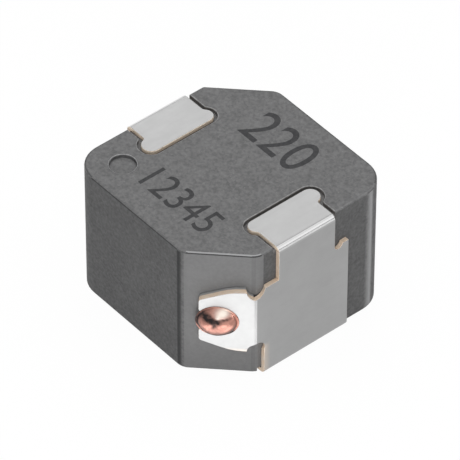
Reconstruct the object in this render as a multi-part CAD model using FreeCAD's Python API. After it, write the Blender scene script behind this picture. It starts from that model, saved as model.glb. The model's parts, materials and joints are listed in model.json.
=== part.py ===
import FreeCAD, Part
import math
import os

# Shielded power inductor for surface mounting, in millimetres.
#
# A coil of enamelled copper wire is pressed into a block of iron powder composite, so that the
# block is core and shield in one. Two folded terminals of tinned copper sheet clasp the block at
# its ends. Each has an eared tab let into the top, a plate down the side, a solder pad let into
# the underside, and a forked wing folded on to the chamfered corner. The wire comes out through
# the fork and is welded to the wing by a bead.
#
# Frame: +Z up, +X towards one terminal, origin on the board under the middle of the part.

Vector = FreeCAD.Vector

# Moulded core
core_length = 7.0
core_width = 7.0
core_height = 4.98
chamfer_leg = 1.67
chamfer_edge_radius = 0.5
crisp_edge_radius = 0.12
corner_radius = 1.0
rim_radius = 0.06
dimple_diameter = 0.88
dimple_depth = 0.13
dimple_from_end = 1.15
dimple_from_side = 1.13

# Terminal sheet, and how it stands to the core
sheet = 0.16
bend_radius = 0.04
standoff = 0.04
tab_proud = 0.01
lip_clearance = 0.02
pocket_gap = 0.13
pad_clearance = 0.05

# Tab on the top, with an ear at each side
tab_reach = 1.51
neck_width = 2.26
ear_radius = 0.32
ear_overhang = 0.32
ear_fillet = 0.10
small_ear_radius = 0.27
small_ear_overhang = 0.14
small_ear_fillet = 0.20
pocket_fillet = 0.10

# Plate on the side
plate_width = 3.38
shoulder_height = 3.71
notch_radius = 0.155

# Pad on the underside
pad_reach = 1.8
pad_corner_radius = 0.2

# Wing on the chamfer, measured from the fold
weld_height = 2.46
wing_gap = 0.128
wing_length = 1.747
wing_root_height = 2.50
wing_tip_height = 1.69
wing_taper = 21.8
wing_curve_radius = 1.8
wing_corner_radius = 0.12
fork_clearance = 0.05
fork_corner_radius = 0.05
relief_radius = 0.30
relief_bite = 0.01

# Coil
wire_width = 0.8
wire_thickness = 0.6
turn_gap = 0.05
whole_turns = 4
coil_radius = 1.75
coil_middle = 2.53
coil_clearance = 0.01
lead_off_radius = 0.6
lead_bend_radius = 0.5
lead_run = 0.05

# Weld bead
bead_length = 1.334
bead_width = 1.175
bead_height = 0.34
bead_lean = 0.05

# Worked out from the sizes above
half_length = core_length / 2
half_width = core_width / 2
core_top = standoff + core_height
outer_x = half_length + sheet
top_z = core_top + tab_proud
outer_bend_radius = bend_radius + sheet
lip_radius = bend_radius + lip_clearance
tab_x = outer_x - tab_reach
pad_x = outer_x - pad_reach
tab_floor = top_z - sheet
pad_ceiling = sheet + pad_clearance
corner_angle = math.radians(45)
corner_y = chamfer_leg - half_width - wing_gap / math.sin(corner_angle)
fold = Vector(outer_x, corner_y - sheet * math.tan(corner_angle / 2), weld_height)
diagonal = math.sqrt(0.5)
along_wing = Vector(-diagonal, -diagonal, 0)
out_of_wing = Vector(diagonal, -diagonal, 0)
wing_plane = fold.dot(out_of_wing)
weld_from_fold = -fold.dot(along_wing)
coil_pitch = wire_thickness + turn_gap
lead_off_angle = math.degrees(math.asin(lead_off_radius / (coil_radius + lead_off_radius)))
coil_rise = coil_pitch * (whole_turns + 0.5 - 2 * lead_off_angle / 360)
bead_round = (bead_width ** 2 / 4 + bead_height ** 2) / (2 * bead_height)
up = Vector(0, 0, 1)
beyond = 1.0
tiny = 1e-6


def unit(vector):
    """The direction of a vector."""
    return vector / vector.Length


def rounded_face(corners):
    """A flat face from its corners in order, each a point and the radius that rounds it."""
    roundings = []
    for index, (point, radius) in enumerate(corners):
        back = unit(corners[index - 1][0] - point)
        ahead = unit(corners[(index + 1) % len(corners)][0] - point)
        half = back.getAngle(ahead) / 2
        reach = radius / math.tan(half)
        middle = point + unit(back + ahead) * (radius / math.sin(half) - radius)
        roundings.append((point + back * reach, middle, point + ahead * reach, radius))
    edges = []
    for index, (start, middle, end, radius) in enumerate(roundings):
        if radius > 0:
            edges.append(Part.Arc(start, middle, end).toShape())
        following = roundings[(index + 1) % len(roundings)][0]
        if end.distanceToPoint(following) > tiny:
            edges.append(Part.makeLine(end, following))
    return Part.Face(Part.Wire(edges))


def arc(centre, radius, start, end):
    """An arc seen from above, from one angle to another in radians."""
    points = []
    for angle in (start, (start + end) / 2, end):
        points.append(centre + Vector(radius * math.cos(angle), radius * math.sin(angle), 0))
    return Part.Arc(*points).toShape()


def turned(shape):
    """The same shape at the other end of the part."""
    copy = shape.copy()
    copy.rotate(Vector(0, 0, 0), up, 180)
    return copy


def on_wing(distance, rise, out=0.0):
    """A point given by its distance from the fold, its height over the weld and off the wing."""
    return fold + along_wing * distance + out_of_wing * out + Vector(0, 0, rise)


def ear_edges(side, radius, overhang, fillet, grow):
    """One side of the tab's outline: the ear, the fillet behind it and the neck's edge."""
    neck = neck_width / 2 + grow
    ear = Vector(tab_x + radius, side * (neck_width / 2 + overhang - radius), 0)
    round_radius = radius + grow
    drop = neck + fillet - abs(ear.y)
    fillet_x = ear.x + math.sqrt((round_radius + fillet) ** 2 - drop ** 2)
    fillet_centre = Vector(fillet_x, side * (neck + fillet), 0)
    joint = math.atan2(side * (fillet_centre.y - ear.y), fillet_centre.x - ear.x)
    neck_end = Vector(fillet_x, side * neck, 0)
    return [
        arc(ear, round_radius, side * math.pi, side * joint),
        arc(fillet_centre, fillet, side * (joint - math.pi), -side * math.pi / 2),
        Part.makeLine(neck_end, Vector(outer_x + beyond, side * neck, 0)),
    ]


def tab_prism(grow, fillets):
    """The tab's outline as seen from above, raised through the height of the part."""
    ear_sides = (
        (1, ear_radius, ear_overhang, fillets[0]),
        (-1, small_ear_radius, small_ear_overhang, fillets[1]),
    )
    edges = []
    for side, radius, overhang, fillet in ear_sides:
        edges += ear_edges(side, radius, overhang, fillet, grow)
    neck = neck_width / 2 + grow
    upper_ear_y = neck_width / 2 + ear_overhang - ear_radius
    lower_ear_y = small_ear_radius - small_ear_overhang - neck_width / 2
    inner_x = tab_x - grow
    edges.append(Part.makeLine(Vector(inner_x, lower_ear_y, 0), Vector(inner_x, upper_ear_y, 0)))
    far_x = outer_x + beyond
    edges.append(Part.makeLine(Vector(far_x, -neck, 0), Vector(far_x, neck, 0)))
    face = Part.Face(Part.Wire(Part.__sortEdges__(edges)))
    return face.extrude(Vector(0, 0, top_z + beyond))


def pad_prism(grow):
    """The pad's outline as seen from above, raised through the height of the part."""
    edge = plate_width / 2 + grow
    inner_x = pad_x - grow
    radius = pad_corner_radius + grow
    face = rounded_face([
        (Vector(inner_x, -edge, -beyond), radius),
        (Vector(outer_x + beyond, -edge, -beyond), 0),
        (Vector(outer_x + beyond, edge, -beyond), 0),
        (Vector(inner_x, edge, -beyond), radius),
    ])
    return face.extrude(Vector(0, 0, top_z + 2 * beyond))


def slab(low_x, low_z, high_z):
    """Everything from low_x outwards between two heights."""
    size = Vector(outer_x + beyond - low_x, core_width + 2 * beyond, high_z - low_z)
    return Part.makeBox(size.x, size.y, size.z, Vector(low_x, -size.y / 2, low_z))


def pocket(prism, seat_z, face_z):
    """The recess for a tab or pad: its outline down to the seat, with a rounded outer lip."""
    into = 1 if face_z > seat_z else -1
    recess_x = outer_x - max(tab_reach, pad_reach) - beyond
    far_x = outer_x + beyond
    side = -core_width / 2
    outside_z = face_z + into * beyond
    section = rounded_face([
        (Vector(recess_x, side, outside_z), 0),
        (Vector(recess_x, side, seat_z), 0),
        (Vector(half_length, side, seat_z), lip_radius),
        (Vector(half_length, side, seat_z - into * 2 * lip_radius), 0),
        (Vector(far_x, side, seat_z - into * 2 * lip_radius), 0),
        (Vector(far_x, side, outside_z), 0),
    ])
    return section.extrude(Vector(0, core_width, 0)).common(prism)


def core_body(coil_space):
    """The pressed block, with its pockets, its mark and the space that the coil fills."""
    outline = rounded_face([
        (Vector(-half_length, -half_width, standoff), corner_radius),
        (Vector(half_length - chamfer_leg, -half_width, standoff), chamfer_edge_radius),
        (Vector(half_length, chamfer_leg - half_width, standoff), chamfer_edge_radius),
        (Vector(half_length, half_width, standoff), corner_radius),
        (Vector(chamfer_leg - half_length, half_width, standoff), chamfer_edge_radius),
        (Vector(-half_length, half_width - chamfer_leg, standoff), crisp_edge_radius),
    ])
    block = outline.extrude(Vector(0, 0, core_height))
    rim = [edge for edge in block.Edges if edge.BoundBox.ZLength < tiny]
    block = block.makeFillet(rim_radius, rim)
    tab_pocket = pocket(tab_prism(pocket_gap, (pocket_fillet, pocket_fillet)), tab_floor, core_top)
    pad_pocket = pocket(pad_prism(pocket_gap), pad_ceiling, standoff)
    mark = Vector(dimple_from_end - half_length, dimple_from_side - half_width, core_top - dimple_depth)
    dimple = Part.makeCylinder(dimple_diameter / 2, dimple_depth + beyond, mark)
    block = block.cut([tab_pocket, turned(tab_pocket), pad_pocket, turned(pad_pocket), dimple])
    return block.cut(coil_space)


def strip():
    """The sheet folded over the end of the core: tab, plate and pad at full width."""
    side = -core_width / 2
    section = rounded_face([
        (Vector(tab_x, side, top_z), 0),
        (Vector(outer_x, side, top_z), outer_bend_radius),
        (Vector(outer_x, side, 0), outer_bend_radius),
        (Vector(pad_x, side, 0), 0),
        (Vector(pad_x, side, sheet), 0),
        (Vector(half_length, side, sheet), bend_radius),
        (Vector(half_length, side, tab_floor), bend_radius),
        (Vector(tab_x, side, tab_floor), 0),
    ])
    return section.extrude(Vector(0, core_width, 0))


def plate(folded):
    """The part of the folded sheet on the side of the core, with its neck and shoulders."""
    neck = neck_width / 2
    edge = plate_width / 2
    inner_x = outer_x - outer_bend_radius
    outline = rounded_face([
        (Vector(inner_x, -edge, 0), 0),
        (Vector(inner_x, edge, 0), 0),
        (Vector(inner_x, edge, shoulder_height), 0),
        (Vector(inner_x, neck, shoulder_height), 0),
        (Vector(inner_x, neck, top_z), 0),
        (Vector(inner_x, -neck, top_z), 0),
        (Vector(inner_x, -neck, shoulder_height), 0),
        (Vector(inner_x, -edge, shoulder_height), 0),
    ])
    blank = outline.extrude(Vector(outer_bend_radius, 0, 0)).common(folded)
    notches = []
    for side in (1, -1):
        centre = Vector(inner_x - beyond, side * (neck + notch_radius), shoulder_height)
        notches.append(Part.makeCylinder(notch_radius, 2 * beyond, centre, Vector(1, 0, 0)))
    return blank.cut(notches)


def wing():
    """The forked flap on the chamfer, with the strip of plate that it is folded from."""
    inner_corner = Vector(half_length, corner_y, 0)
    root_y = -neck_width / 2
    base = Vector(0, 0, weld_height - wing_root_height / 2)
    tip = Vector(fold.x, fold.y, 0) + along_wing * wing_length
    section = rounded_face([
        (Vector(half_length, root_y, 0) + base, 0),
        (inner_corner + base, bend_radius),
        (tip - out_of_wing * sheet + base, 0),
        (tip + base, 0),
        (Vector(fold.x, fold.y, 0) + base, outer_bend_radius),
        (Vector(outer_x, root_y, 0) + base, 0),
    ])
    folded = section.extrude(Vector(0, 0, wing_root_height))
    root = wing_root_height / 2
    end = wing_tip_height / 2
    shoulder = wing_length - (root - end) / math.tan(math.radians(wing_taper))
    slot = wire_thickness / 2 + fork_clearance
    slot_end = weld_from_fold - wire_width / 2 - fork_clearance
    outline = rounded_face([
        (on_wing(-beyond, -root, -beyond), 0),
        (on_wing(shoulder, -root, -beyond), wing_curve_radius),
        (on_wing(wing_length, -end, -beyond), wing_corner_radius),
        (on_wing(wing_length, -slot, -beyond), wing_corner_radius),
        (on_wing(slot_end, -slot, -beyond), fork_corner_radius),
        (on_wing(slot_end, slot, -beyond), fork_corner_radius),
        (on_wing(wing_length, slot, -beyond), wing_corner_radius),
        (on_wing(wing_length, end, -beyond), wing_corner_radius),
        (on_wing(shoulder, root, -beyond), wing_curve_radius),
        (on_wing(-beyond, root, -beyond), 0),
    ])
    return folded.common(outline.extrude(out_of_wing * (2 * beyond)))


def relief(side):
    """The round hole punched at one end of the wing's fold before it is bent."""
    half_fold = corner_angle / 2
    across = Vector(math.cos(half_fold), -math.sin(half_fold), 0)
    beside = Vector(-math.sin(half_fold), -math.cos(half_fold), 0)
    edge_from_fold = (-plate_width / 2 - fold.y) * math.cos(half_fold)
    shift = relief_radius - edge_from_fold - relief_bite
    centre = fold + beside * shift + Vector(0, 0, side * wing_root_height / 2)
    return Part.makeCylinder(relief_radius, 2 * beyond, centre - across * beyond, across)


def terminal():
    """One terminal, cut and folded from a single piece of sheet."""
    folded = strip()
    tab = folded.common(tab_prism(0, (ear_fillet, small_ear_fillet)))
    tab = tab.common(slab(tab_x - beyond, top_z - outer_bend_radius, top_z + beyond))
    pad = folded.common(pad_prism(0))
    pad = pad.common(slab(pad_x - beyond, -beyond, outer_bend_radius))
    whole = plate(folded).fuse([tab, pad, wing()])
    return whole.cut([relief(1), relief(-1)]).removeSplitter()


def coil_point(u, v, z):
    """A point of the coil. u runs from the axis to the right weld, v square to it and z up."""
    return out_of_wing * u - along_wing * v + Vector(0, 0, z)


def wire_section(centre, across, through, grow):
    """The flat wire's section: its width runs across, and its thickness through."""
    half_across = across * (wire_width / 2 + grow)
    half_through = through * (wire_thickness / 2 + grow)
    return rounded_face([
        (centre - half_across - half_through, 0),
        (centre + half_across - half_through, 0),
        (centre + half_across + half_through, 0),
        (centre - half_across + half_through, 0),
    ])


def turns(grow):
    """The coil's turns, wound on edge from the left lead up to the right one."""
    path = Part.Wire(Part.makeHelix(coil_pitch, coil_rise, coil_radius))
    start = wire_section(Vector(coil_radius, 0, 0), Vector(1, 0, 0), up, grow)
    sweep = Part.BRepOffsetAPI.MakePipeShell(path)
    sweep.setBiNormalMode(up)
    sweep.add(start.OuterWire)
    sweep.build()
    sweep.makeSolid()
    wound = sweep.shape()
    wound.rotate(Vector(0, 0, 0), up, 180 + lead_off_angle - math.degrees(corner_angle))
    wound.translate(Vector(0, 0, coil_middle - coil_rise / 2))
    return wound


def lead(end_height, grow):
    """The right lead, from the top of the turns out to the face of the wing."""
    start_z = coil_middle + coil_rise / 2
    u_way = coil_point(1, 0, 0)
    v_way = coil_point(0, 1, 0)
    off_angle = math.radians(lead_off_angle)
    leaving = u_way * math.cos(off_angle) - v_way * math.sin(off_angle)
    start = leaving * coil_radius + up * start_z
    off_centre = leaving * (coil_radius + lead_off_radius) + up * start_z
    off_end = off_centre + v_way * lead_off_radius
    over = off_end + u_way * lead_run
    down_centre = over - up * lead_bend_radius
    top = down_centre + u_way * lead_bend_radius
    bottom = Vector(top.x, top.y, end_height + lead_bend_radius)
    out_centre = bottom + u_way * lead_bend_radius
    out_start = out_centre - up * lead_bend_radius
    out_run = wing_plane - out_start.dot(u_way)
    return [
        wire_section(start, leaving, up, grow).revolve(off_centre, -up, 90 - lead_off_angle),
        wire_section(off_end, v_way, up, grow).extrude(u_way * lead_run),
        wire_section(over, v_way, up, grow).revolve(down_centre, v_way, 90),
        wire_section(top, v_way, u_way, grow).extrude(bottom - top),
        wire_section(bottom, v_way, u_way, grow).revolve(out_centre, -v_way, 90),
        wire_section(out_start, v_way, up, grow).extrude(u_way * out_run),
    ]


def winding(grow=0.0):
    """The whole coil with both leads, or with grow the space that it takes up in the core."""
    pieces = lead(weld_height, grow)
    for piece in lead(2 * coil_middle - weld_height, grow):
        piece.rotate(coil_point(0, 0, coil_middle), coil_point(0, 1, 0), 180)
        pieces.append(piece)
    return turns(grow).fuse(pieces).removeSplitter()


def weld_bead():
    """The cap of melted copper that joins the wire's end to the fork."""
    centre = on_wing(weld_from_fold + bead_lean, 0, bead_height - bead_round)
    long_end = centre + along_wing * (bead_length * bead_round / bead_width)
    ellipse = Part.Ellipse(long_end, centre + out_of_wing * bead_round, centre)
    upper = Part.Arc(ellipse, 0, math.pi).toShape()
    base = Part.makeLine(upper.valueAt(upper.LastParameter), upper.valueAt(upper.FirstParameter))
    ball = Part.Face(Part.Wire([upper, base])).revolve(centre, along_wing, 360)
    low = on_wing(weld_from_fold - bead_length, -bead_length)
    cover = Part.Face(Part.makePolygon([
        low,
        low + along_wing * 3 * bead_length,
        low + along_wing * 3 * bead_length + Vector(0, 0, 2 * bead_length),
        low + Vector(0, 0, 2 * bead_length),
        low,
    ]))
    return ball.common(cover.extrude(out_of_wing * beyond))


right_terminal = terminal()
right_weld_bead = weld_bead()
nodes = {
    "core_body": core_body(winding(coil_clearance)),
    "coil": winding(),
    "right_terminal": right_terminal,
    "left_terminal": turned(right_terminal),
    "right_weld_bead": right_weld_bead,
    "left_weld_bead": turned(right_weld_bead),
}

os.makedirs("parts", exist_ok=True)
for name, shape in nodes.items():
    shape.exportStep(os.path.join("parts", name + ".step"))
    print(name, shape.ShapeType, len(shape.Solids), "valid", shape.isValid(), "mm3", round(shape.Volume, 4))
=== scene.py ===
"""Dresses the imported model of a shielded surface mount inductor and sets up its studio.

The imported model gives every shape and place. This script gives the block its pressed powder, the
terminals their tin and bare copper edges, the welds their melted copper, and prints the numbers.
Sizes are millimetres in the code, and metres in the scene and in its settings.
"""
import json
import math

import bmesh
import bpy
from mathutils import Matrix, Quaternion, Vector, noise

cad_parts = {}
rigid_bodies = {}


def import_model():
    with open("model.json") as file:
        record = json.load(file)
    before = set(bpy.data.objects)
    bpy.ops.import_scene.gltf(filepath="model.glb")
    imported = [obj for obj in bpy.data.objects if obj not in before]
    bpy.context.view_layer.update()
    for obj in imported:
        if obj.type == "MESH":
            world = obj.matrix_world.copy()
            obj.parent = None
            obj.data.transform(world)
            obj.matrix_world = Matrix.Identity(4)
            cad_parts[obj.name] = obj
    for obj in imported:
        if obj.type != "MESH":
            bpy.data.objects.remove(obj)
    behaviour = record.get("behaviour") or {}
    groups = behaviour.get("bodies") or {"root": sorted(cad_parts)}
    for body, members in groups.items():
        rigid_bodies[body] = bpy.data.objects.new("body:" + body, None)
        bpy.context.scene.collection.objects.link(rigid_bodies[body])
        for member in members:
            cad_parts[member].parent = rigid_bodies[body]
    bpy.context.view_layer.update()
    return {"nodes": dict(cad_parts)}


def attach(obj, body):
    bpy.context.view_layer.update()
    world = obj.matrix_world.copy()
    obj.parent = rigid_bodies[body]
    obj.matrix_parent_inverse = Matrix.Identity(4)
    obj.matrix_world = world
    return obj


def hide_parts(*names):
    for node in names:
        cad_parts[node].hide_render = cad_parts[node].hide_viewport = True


bl_info = {
    "name": "Shielded Inductor",
    "version": (1, 0, 0),
    "blender": (4, 5, 0),
    "location": "View3D > Sidebar > Inductor",
    "description": "Gives a packed inductor its materials, welds, printed numbers and studio",
    "category": "Object",
}

for start_object in list(bpy.data.objects):
    bpy.data.objects.remove(start_object)
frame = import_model()

MM = 0.001
ROOT = "root"
# The part's two ends, and the turn that brings the right one to each
SIDES = (("right", Matrix.Identity(4)), ("left", Matrix.Rotation(math.pi, 4, "Z")))

# The block and the terminal sheet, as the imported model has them
SHEET = 0.16
OUTER_BEND = 0.2
END_X = 3.66
TOP_Z = 5.03
CORE_TOP = 5.02
PLATE_EDGE = -1.69
WING_FOLD_Y = -2.0773
FOLD = Vector((END_X, WING_FOLD_Y, 0.0))

# The round dimple in the top: its middle, and the radius of the painted shade line round its rim
DIMPLE = (-2.35, -2.37, CORE_TOP)
DIMPLE_RIM = 0.46

# The wing's own directions on the right chamfer
ALONG_WING = Vector((-1.0, -1.0, 0.0)).normalized()
OUT_OF_WING = Vector((1.0, -1.0, 0.0)).normalized()
UP = Vector((0.0, 0.0, 1.0))

# The photograph's camera, as direction to the eye, distance and shift of the view point.
# The clipping distances are metres.
CAMERA_AZIMUTH = 49.86
CAMERA_ELEVATION = 43.63
CAMERA_ROLL = 0.14
CAMERA_DISTANCE = 173.24
CAMERA_ASIDE = -0.004
CAMERA_ABOVE = 1.756
CAMERA_BASE = 0.04
CAMERA_LENS = 430.43
CAMERA_SENSOR = 36.0
CAMERA_CLIP = (0.01, 10.0)

# Studio lamps: name, azimuth and elevation in degrees, distance and size in mm, and level.
# A level of 1 shows a surface that faces the lamp at its own colour.
STUDIO_LAMPS = (
    ("front_low", 52.0, 12.0, 90.0, 40.0, 0.40),
    ("back_high", 230.0, 43.0, 120.0, 70.0, 0.112),
    ("overhead", 0.0, 89.0, 120.0, 200.0, 1.40),
    ("right_strip", 128.0, 10.0, 90.0, 12.0, 0.05),
)
# Lamps that gloss doesn't mirror, so that the folds and the welds don't glare
NO_GLOSS_LAMPS = ("overhead", "front_low")
# The height over the board that the lamps are aimed at
AIM_HEIGHT = 2.5
# A glowing card on the floor before the right chamfer: how far out and aside, length, width, glow
CARD = (8.2, -0.1, 6.6, 6.2, 2.05)
CARD_HEIGHT = 0.02

# Roughness where a surface's pattern is lowest and where it is highest
POWDER_ROUGHNESS = (0.68, 0.56)
RIM_ROUGHNESS = (0.55, 0.45)
INK_ROUGHNESS = (0.7, 0.6)
TIN_ROUGHNESS = (0.36, 0.42)
CUT_ROUGHNESS = (0.4, 0.55)
WELD_ROUGHNESS = (0.3, 0.45)
ENAMEL_ROUGHNESS = (0.25, 0.38)

# Depth of a surface's relief in mm
GRAIN_RELIEF = 0.006
TIN_RELIEF = 0.0012
COPPER_RELIEF = 0.004

# Powder: its specular level, and its few bright particles as brightness and share
POWDER_SPECULAR = 0.2
RIM_SPECULAR = 0.3
GLINT_BRIGHTNESS = 2.0
GLINT_SHARE = 0.3
# Powder pressed even on the chamfers: brightness and share of its even colour, which is lighter as
# a painted sheen, and loss of roughness and relief
SHEEN_BRIGHTNESS = 1.38
SMOOTH_SHEEN_SHARE = 0.7
SMOOTH_ROUGHNESS = 0.06
SMOOTH_RELIEF = 0.6
# The painted shade line round the dimple's rim: where it fades out and is darkest, from its radius,
# and how dark
DIMPLE_SHADE_LINE = (0.03, 0.01)
DIMPLE_SHADE_DARKNESS = 0.4
# How much of the powder shows through worn ink
INK_WEAR = 0.25

# Copper that shows through the tin low on the plate's edge: where it starts and is full, as
# distance from the edge and as height, how far it covers the tin, and its share of copper
COPPERY_REACH = (0.24, 0.02)
COPPERY_HEIGHT = (1.35, 1.2)
COPPERY_COVER = 0.9
COPPERY_SHARE = 0.35

# Cut edges: the tin smeared on them and its share, how each channel is dimmed along the tab's foot
# as painted shade and brightened above it as painted light, and the grey of the seam behind the
# wing, which stands in for the soft shade above the wing and is made light against the shade in
# the seam, and where it starts
SMEARED_TIN = (0.8, 0.76, 0.7)
SMEARED_SHARE = 0.45
FOOT_SHADE_SHARES = (0.6, 0.48, 0.42)
CREST_LIGHT_SHARES = (0.95, 0.55, 0.35)
SEAM_GREY = (0.33, 0.33, 0.332)
SEAM_START = (0.6, 0.68)
CUT_METALLIC = 0.15

# What every colour in the settings has
RGB = {"size": 3, "min": 0.0, "max": 1.0}


class InductorCoreSettings(bpy.types.PropertyGroup):
    """Finish of the pressed block."""

    dark_powder: bpy.props.FloatVectorProperty(
        name="Dark powder", description="Colour of the block's darker grains",
        subtype="COLOR", **RGB, default=(0.112, 0.112, 0.113))
    light_powder: bpy.props.FloatVectorProperty(
        name="Light powder", description="Colour of the block's lighter grains",
        subtype="COLOR", **RGB, default=(0.185, 0.185, 0.186))
    # Painted highlight: the colour of rims and corners drawn lighter, and of the pockets' rims
    highlight_powder: bpy.props.FloatVectorProperty(
        name="Highlight powder", description="Colour of rims and corners that are rubbed bright",
        subtype="COLOR", **RGB, default=(0.36, 0.36, 0.365))
    # Painted shade: the colour blended in where corners, sides, rims, pockets and the dimple's rim
    # are drawn darker
    painted_shade_powder: bpy.props.FloatVectorProperty(
        name="Dark powder film", description="Colour of fine powder's film in recesses and corners",
        subtype="COLOR", **RGB, default=(0.03, 0.03, 0.031))
    grain_size: bpy.props.FloatProperty(
        name="Grain size", description="Width of one patch of the mottled surface",
        unit="LENGTH", min=0.00002, max=0.001, default=0.00011, precision=6)
    rim_softness: bpy.props.FloatProperty(
        name="Rim softness", description="Width of the rounding on the pockets' rims",
        unit="LENGTH", min=0.0, max=0.0001, default=0.000025, precision=6)


class InductorTerminalSettings(bpy.types.PropertyGroup):
    """Finish of the folded sheet."""

    tin: bpy.props.FloatVectorProperty(
        name="Tin", description="Colour of the plated faces",
        subtype="COLOR", **RGB, default=(0.34, 0.34, 0.34))
    # Painted highlight: the colour of the bright lines along the folds
    fold_highlight_tin: bpy.props.FloatVectorProperty(
        name="Fold highlight tin", description="Colour of the tin where the folding tool rubbed it",
        subtype="COLOR", **RGB, default=(0.80, 0.80, 0.80))
    cut_copper: bpy.props.FloatVectorProperty(
        name="Cut copper", description="Colour of the bare copper at the cut edges",
        subtype="COLOR", **RGB, default=(0.80, 0.63, 0.48))
    edge_softness: bpy.props.FloatProperty(
        name="Edge softness", description="Width of the rounding on the sheet's edges",
        unit="LENGTH", min=0.0, max=0.00005, default=0.000012, precision=6)


class InductorWeldSettings(bpy.types.PropertyGroup):
    """Shape and finish of the welds."""

    length: bpy.props.FloatProperty(
        name="Length", description="Length of the weld along the wing",
        unit="LENGTH", min=0.0005, max=0.002, default=0.00137, precision=6)
    width: bpy.props.FloatProperty(
        name="Width", description="Height of the weld up the wing",
        unit="LENGTH", min=0.0005, max=0.002, default=0.00123, precision=6)
    rise: bpy.props.FloatProperty(
        name="Rise", description="How far the weld stands off the wing",
        unit="LENGTH", min=0.0001, max=0.0006, default=0.00034, precision=6)
    copper: bpy.props.FloatVectorProperty(
        name="Melted copper", description="Colour of the clean melted copper",
        subtype="COLOR", **RGB, default=(0.55, 0.27, 0.215))
    # Painted highlight: the pale cream patch high on the weld
    tinned_copper: bpy.props.FloatVectorProperty(
        name="Tinned copper", description="Colour where tin from the plating has run into the weld",
        subtype="COLOR", **RGB, default=(1.0, 0.90, 0.80))
    # Painted dark reflections on the weld, and painted shade in the groove inside its toe
    oxide: bpy.props.FloatVectorProperty(
        name="Oxide", description="Colour of the burnt patches",
        subtype="COLOR", **RGB, default=(0.03, 0.025, 0.025))


class InductorCoilSettings(bpy.types.PropertyGroup):
    """Finish of the wire inside the block."""

    copper: bpy.props.FloatVectorProperty(
        name="Enamelled copper", description="Colour of the wire under its clear enamel",
        subtype="COLOR", **RGB, default=(0.55, 0.24, 0.11))


class InductorMarkSettings(bpy.types.PropertyGroup):
    """Printed numbers on the top."""

    large_number: bpy.props.StringProperty(
        name="Large number", description="The large digits near the far edge", default="220")
    small_number: bpy.props.StringProperty(
        name="Small number", description="The small digits near the close edge", default="12345")
    ink: bpy.props.FloatVectorProperty(
        name="Ink", description="Colour of the printed digits",
        subtype="COLOR", **RGB, default=(0.035, 0.035, 0.037))


class InductorStageSettings(bpy.types.PropertyGroup):
    """Light on the part and the floor that it stands on."""

    fill_level: bpy.props.FloatProperty(
        name="Fill level", description="Light from all round that reaches matte surfaces",
        min=0.0, max=2.0, default=0.10)
    floor_glow: bpy.props.FloatProperty(
        name="Floor glow", description="Share of the floor's white that no shadow takes away",
        min=0.0, max=1.0, default=0.96)


def mixed(first, second, share):
    """The colour part of the way from one colour to another."""
    return [start + (end - start) * share for start, end in zip(first, second)]


def scaled(colour, share):
    """A colour made darker or brighter, up to white."""
    return [min(1.0, share * part) for part in colour]


def new_group(name, numbers, outputs):
    """A shader node group that takes a place and numbers, with the sockets of its two ends."""
    tree = bpy.data.node_groups.new(name, "ShaderNodeTree")
    sockets = tree.interface
    sockets.new_socket(name="Place", in_out="INPUT", socket_type="NodeSocketVector")
    for number, value in numbers.items():
        socket = sockets.new_socket(name=number, in_out="INPUT", socket_type="NodeSocketFloat")
        socket.default_value = value
    for output in outputs:
        sockets.new_socket(name=output, in_out="OUTPUT", socket_type="NodeSocketFloat")
    entry = tree.nodes.new("NodeGroupInput")
    result = tree.nodes.new("NodeGroupOutput")
    return tree, entry.outputs, result.inputs


def add_node(tree, kind, sockets=None, **settings):
    """A node with its settings, and with each named input set to a value or joined to an output."""
    node = tree.nodes.new(kind)
    for name, value in settings.items():
        setattr(node, name, value)
    for name, value in (sockets or {}).items():
        if isinstance(value, bpy.types.NodeSocket):
            tree.links.new(value, node.inputs[name])
        else:
            node.inputs[name].default_value = value
    return node


def calculate(tree, operation, first, second=0.5, clamp=False):
    """The output of one sum on one or two numbers."""
    sockets = {0: first, 1: second}
    node = add_node(tree, "ShaderNodeMath", sockets, operation=operation, use_clamp=clamp)
    return node.outputs[0]


def times(tree, first, second):
    """The product of two numbers."""
    return calculate(tree, "MULTIPLY", first, second)


def weighed(tree, first, second, share):
    """The sum of two values by weight, where share is the second one's."""
    return calculate(tree, "ADD", times(tree, first, 1.0 - share), times(tree, second, share))


def stretched(tree, value, low, high, new_low=0.0, new_high=1.0):
    """A value's range from low to high, spread over a new range and cut off beyond it."""
    sockets = {
        "Value": value, "From Min": low, "From Max": high, "To Min": new_low, "To Max": new_high}
    return add_node(tree, "ShaderNodeMapRange", sockets).outputs["Result"]


def between(tree, share, low, high):
    """The value part of the way from low to high."""
    return stretched(tree, share, 0.0, 1.0, low, high)


def blended(tree, share, first, second):
    """One colour turning into another."""
    node = add_node(tree, "ShaderNodeMix", data_type="RGBA")
    for index, value in ((0, share), (6, first), (7, second)):
        socket = node.inputs[index]
        if isinstance(value, bpy.types.NodeSocket):
            tree.links.new(value, socket)
        elif socket.type == "RGBA":
            socket.default_value = (*value, 1.0)
        else:
            socket.default_value = value
    return node.outputs[2]


def spots(tree, place, scale, detail=2.0, roughness=0.5, distortion=0.0):
    """Soft noise of a given fineness."""
    sockets = {"Vector": place, "Scale": scale, "Detail": detail, "Roughness": roughness,
               "Distortion": distortion}
    return add_node(tree, "ShaderNodeTexNoise", sockets).outputs["Fac"]


def marked(tree, name):
    """What the piece's mesh says at each place in one of its attributes."""
    return add_node(tree, "ShaderNodeAttribute", attribute_name=name).outputs["Fac"]


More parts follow.
